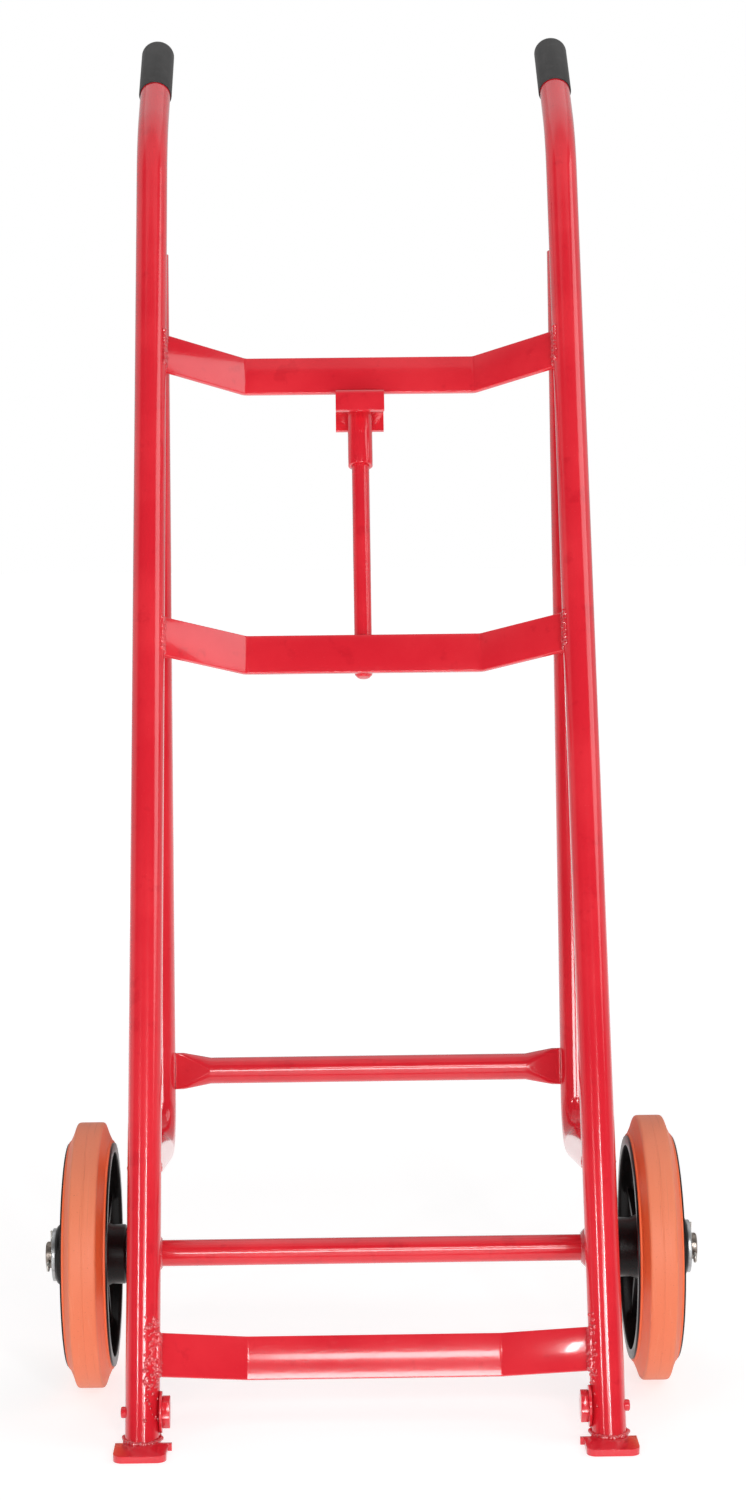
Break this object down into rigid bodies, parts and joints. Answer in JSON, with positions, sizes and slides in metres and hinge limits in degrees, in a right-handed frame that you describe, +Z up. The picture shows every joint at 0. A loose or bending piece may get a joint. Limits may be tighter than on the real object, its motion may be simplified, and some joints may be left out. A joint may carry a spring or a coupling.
{
  "type": "drum hand truck",
  "caption": "Two-wheeled tubular hand truck for drums, with dished crossbars, rear legs, toe plates, bent handles with grips and a sliding chime hook.",
  "frame": {"origin": "the point on the floor straight below the axle, midway between the wheels", "axes": "+X to the truck's own right seen from the front where the toes are, +Y to the rear where the handles bend back, +Z up; toes and tyres both on the floor at Z = 0"},
  "size_m": [0.6306, 0.7159, 1.3425],
  "materials": {
    "frame_paint": "glossy red enamel over welded steel",
    "hook_paint": "glossy red enamel",
    "axle_steel": "bright shaft, dull at the ends, painted between the rails",
    "bearing_steel": "ground steel with grease",
    "washer_zinc": "zinc plated",
    "wheel_centre": "black paint on a casting",
    "tyre": "orange moulded tyre, matt with flow lines",
    "grip": "dark grey dipped vinyl, satin"
  },
  "bodies": {
    "frame": {"left_rail": "frame_paint", "right_rail": "frame_paint", "left_grip": "grip", "right_grip": "grip", "upper_crossbar": "frame_paint", "middle_crossbar": "frame_paint", "lower_crossbar": "frame_paint", "left_rear_leg": "frame_paint", "right_rear_leg": "frame_paint", "rear_cross_tube": "frame_paint", "axle": "axle_steel", "left_axle_bracket": "frame_paint", "right_axle_bracket": "frame_paint", "axle_welds": "frame_paint", "left_axle_spacer": "frame_paint", "right_axle_spacer": "frame_paint", "left_inner_washer": "washer_zinc", "right_inner_washer": "washer_zinc", "left_outer_washer": "washer_zinc", "right_outer_washer": "washer_zinc", "left_cotter_pin": "washer_zinc", "right_cotter_pin": "washer_zinc", "left_toe": "frame_paint", "right_toe": "frame_paint", "left_toe_bolt": "frame_paint", "right_toe_bolt": "frame_paint", "left_toe_washer": "frame_paint", "right_toe_washer": "frame_paint", "hook_rod": "frame_paint"},
    "left_wheel": {"left_tyre": "tyre", "left_wheel_centre": "wheel_centre", "left_bearing_race": "bearing_steel", "left_bearing_rollers": "bearing_steel", "left_bearing_cage": "bearing_steel"},
    "right_wheel": {"right_tyre": "tyre", "right_wheel_centre": "wheel_centre", "right_bearing_race": "bearing_steel", "right_bearing_rollers": "bearing_steel", "right_bearing_cage": "bearing_steel"},
    "hook": {"hook_sleeve": "hook_paint", "chime_hook": "hook_paint"}
  },
  "joints": [
    {"name": "left_wheel_spin", "type": "hinge", "parent": "frame", "child": "left_wheel", "pos_m": [-0.271, 0, 0.127], "axis": [1, 0, 0], "continuous": true},
    {"name": "right_wheel_spin", "type": "hinge", "parent": "frame", "child": "right_wheel", "pos_m": [0.271, 0, 0.127], "axis": [1, 0, 0], "continuous": true},
    {"name": "hook_slide", "type": "slide", "parent": "frame", "child": "hook", "axis": [0, 0.3907, 0.9205], "range_m": [-0.185, 0]}
  ]
}
